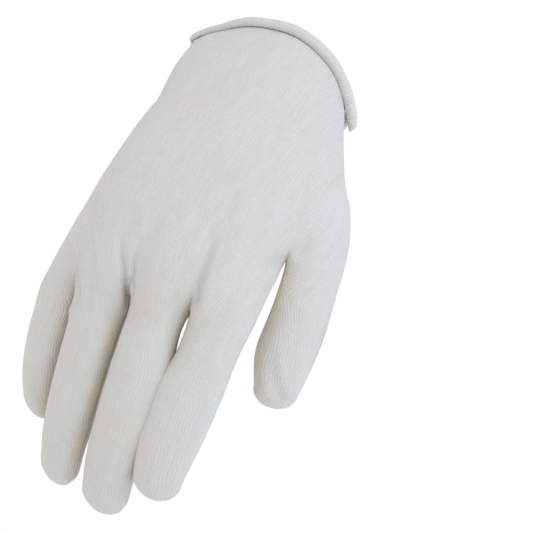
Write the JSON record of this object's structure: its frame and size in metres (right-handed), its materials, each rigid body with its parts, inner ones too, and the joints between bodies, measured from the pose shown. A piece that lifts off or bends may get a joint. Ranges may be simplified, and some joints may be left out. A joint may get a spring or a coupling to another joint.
{
  "type": "cotton inspection glove",
  "caption": "Light knitted cotton inspection glove for the right hand, filled as worn, with two sewn panels and a raw cuff edge curled into a roll",
  "frame": {"origin": "centre of the cuff mouth, where the wrist goes in", "axes": "fingers point to -Z, the back of the hand faces -Y, the thumb lies towards +X"},
  "size_m": [0.1081, 0.0947, 0.1979],
  "materials": {
    "cotton_back": "fine white cotton jersey, matt",
    "cotton_palm": "fine white cotton jersey, matt",
    "cotton_roll": "curled raw edge of white cotton jersey, matt"
  },
  "bodies": {
    "root": {"back_panel": "cotton_back", "palm_panel": "cotton_palm", "back_cuff_roll": "cotton_roll", "palm_cuff_roll": "cotton_roll"}
  },
  "joints": []
}
